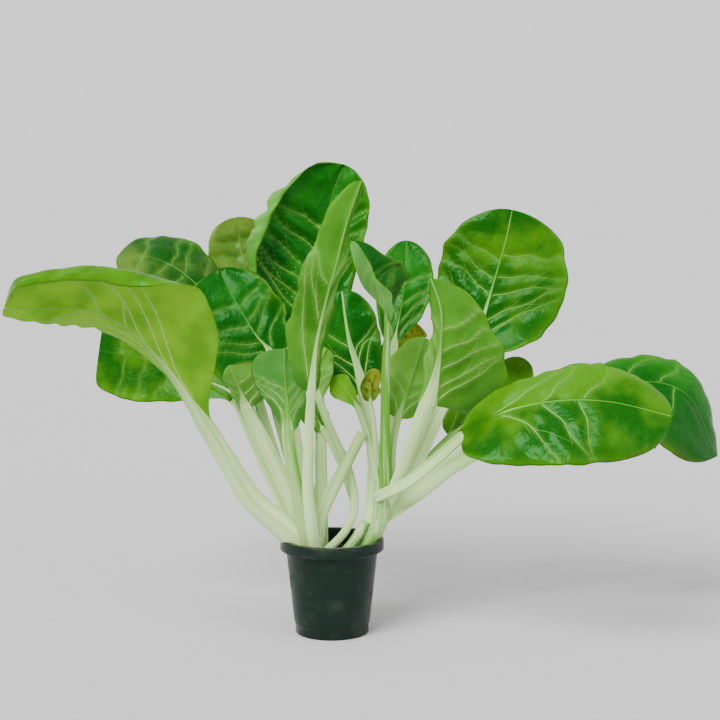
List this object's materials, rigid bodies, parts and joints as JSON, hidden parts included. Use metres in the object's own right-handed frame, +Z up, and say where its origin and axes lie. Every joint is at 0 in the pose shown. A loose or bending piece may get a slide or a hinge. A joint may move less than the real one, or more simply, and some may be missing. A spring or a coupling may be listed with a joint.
{
  "type": "potted bok choy plant",
  "caption": "Bok choy plant with pale gutter-shaped stalks and broad waved green leaves, growing in a small round nursery pot of potting mix that stands on its flat base.",
  "frame": {"origin": "middle of the flat underside of the pot", "axes": "+Z up; the widest spread of the leaves runs along X; the front of the plant faces -Y"},
  "size_m": [0.4264, 0.2383, 0.2926],
  "materials": {
    "leaf_dark": "satin",
    "leaf_light": "satin",
    "leaf_yellow": "satin",
    "stalk": "satin",
    "potting_mix": "matte",
    "pot": "satin"
  },
  "bodies": {
    "root": {"leaf_far_left": "leaf_light", "leaf_low_left": "leaf_dark", "leaf_left_under": "leaf_light", "leaf_left_dark": "leaf_dark", "leaf_front_small": "leaf_light", "leaf_tall_front": "leaf_light", "leaf_tall_back": "leaf_dark", "leaf_back_olive": "leaf_dark", "leaf_back_left": "leaf_dark", "leaf_fan": "leaf_dark", "leaf_folded": "leaf_light", "leaf_upright_dark": "leaf_dark", "leaf_right_under": "leaf_light", "leaf_round_right": "leaf_dark", "leaf_drooping": "leaf_dark", "leaf_far_right": "leaf_dark", "leaf_right_inner": "leaf_dark", "leaf_pale_inner": "leaf_light", "leaf_yellow_old": "leaf_yellow", "leaf_yellow_small": "leaf_yellow", "leaf_pale_middle": "leaf_light", "leaf_olive_inner": "leaf_yellow", "leaf_low_middle": "leaf_dark", "cut_stalk_front": "stalk", "cut_stalk_back": "stalk", "stem_right": "stalk", "crown_left": "stalk", "potting_mix": "potting_mix", "pot": "pot"}
  },
  "joints": []
}
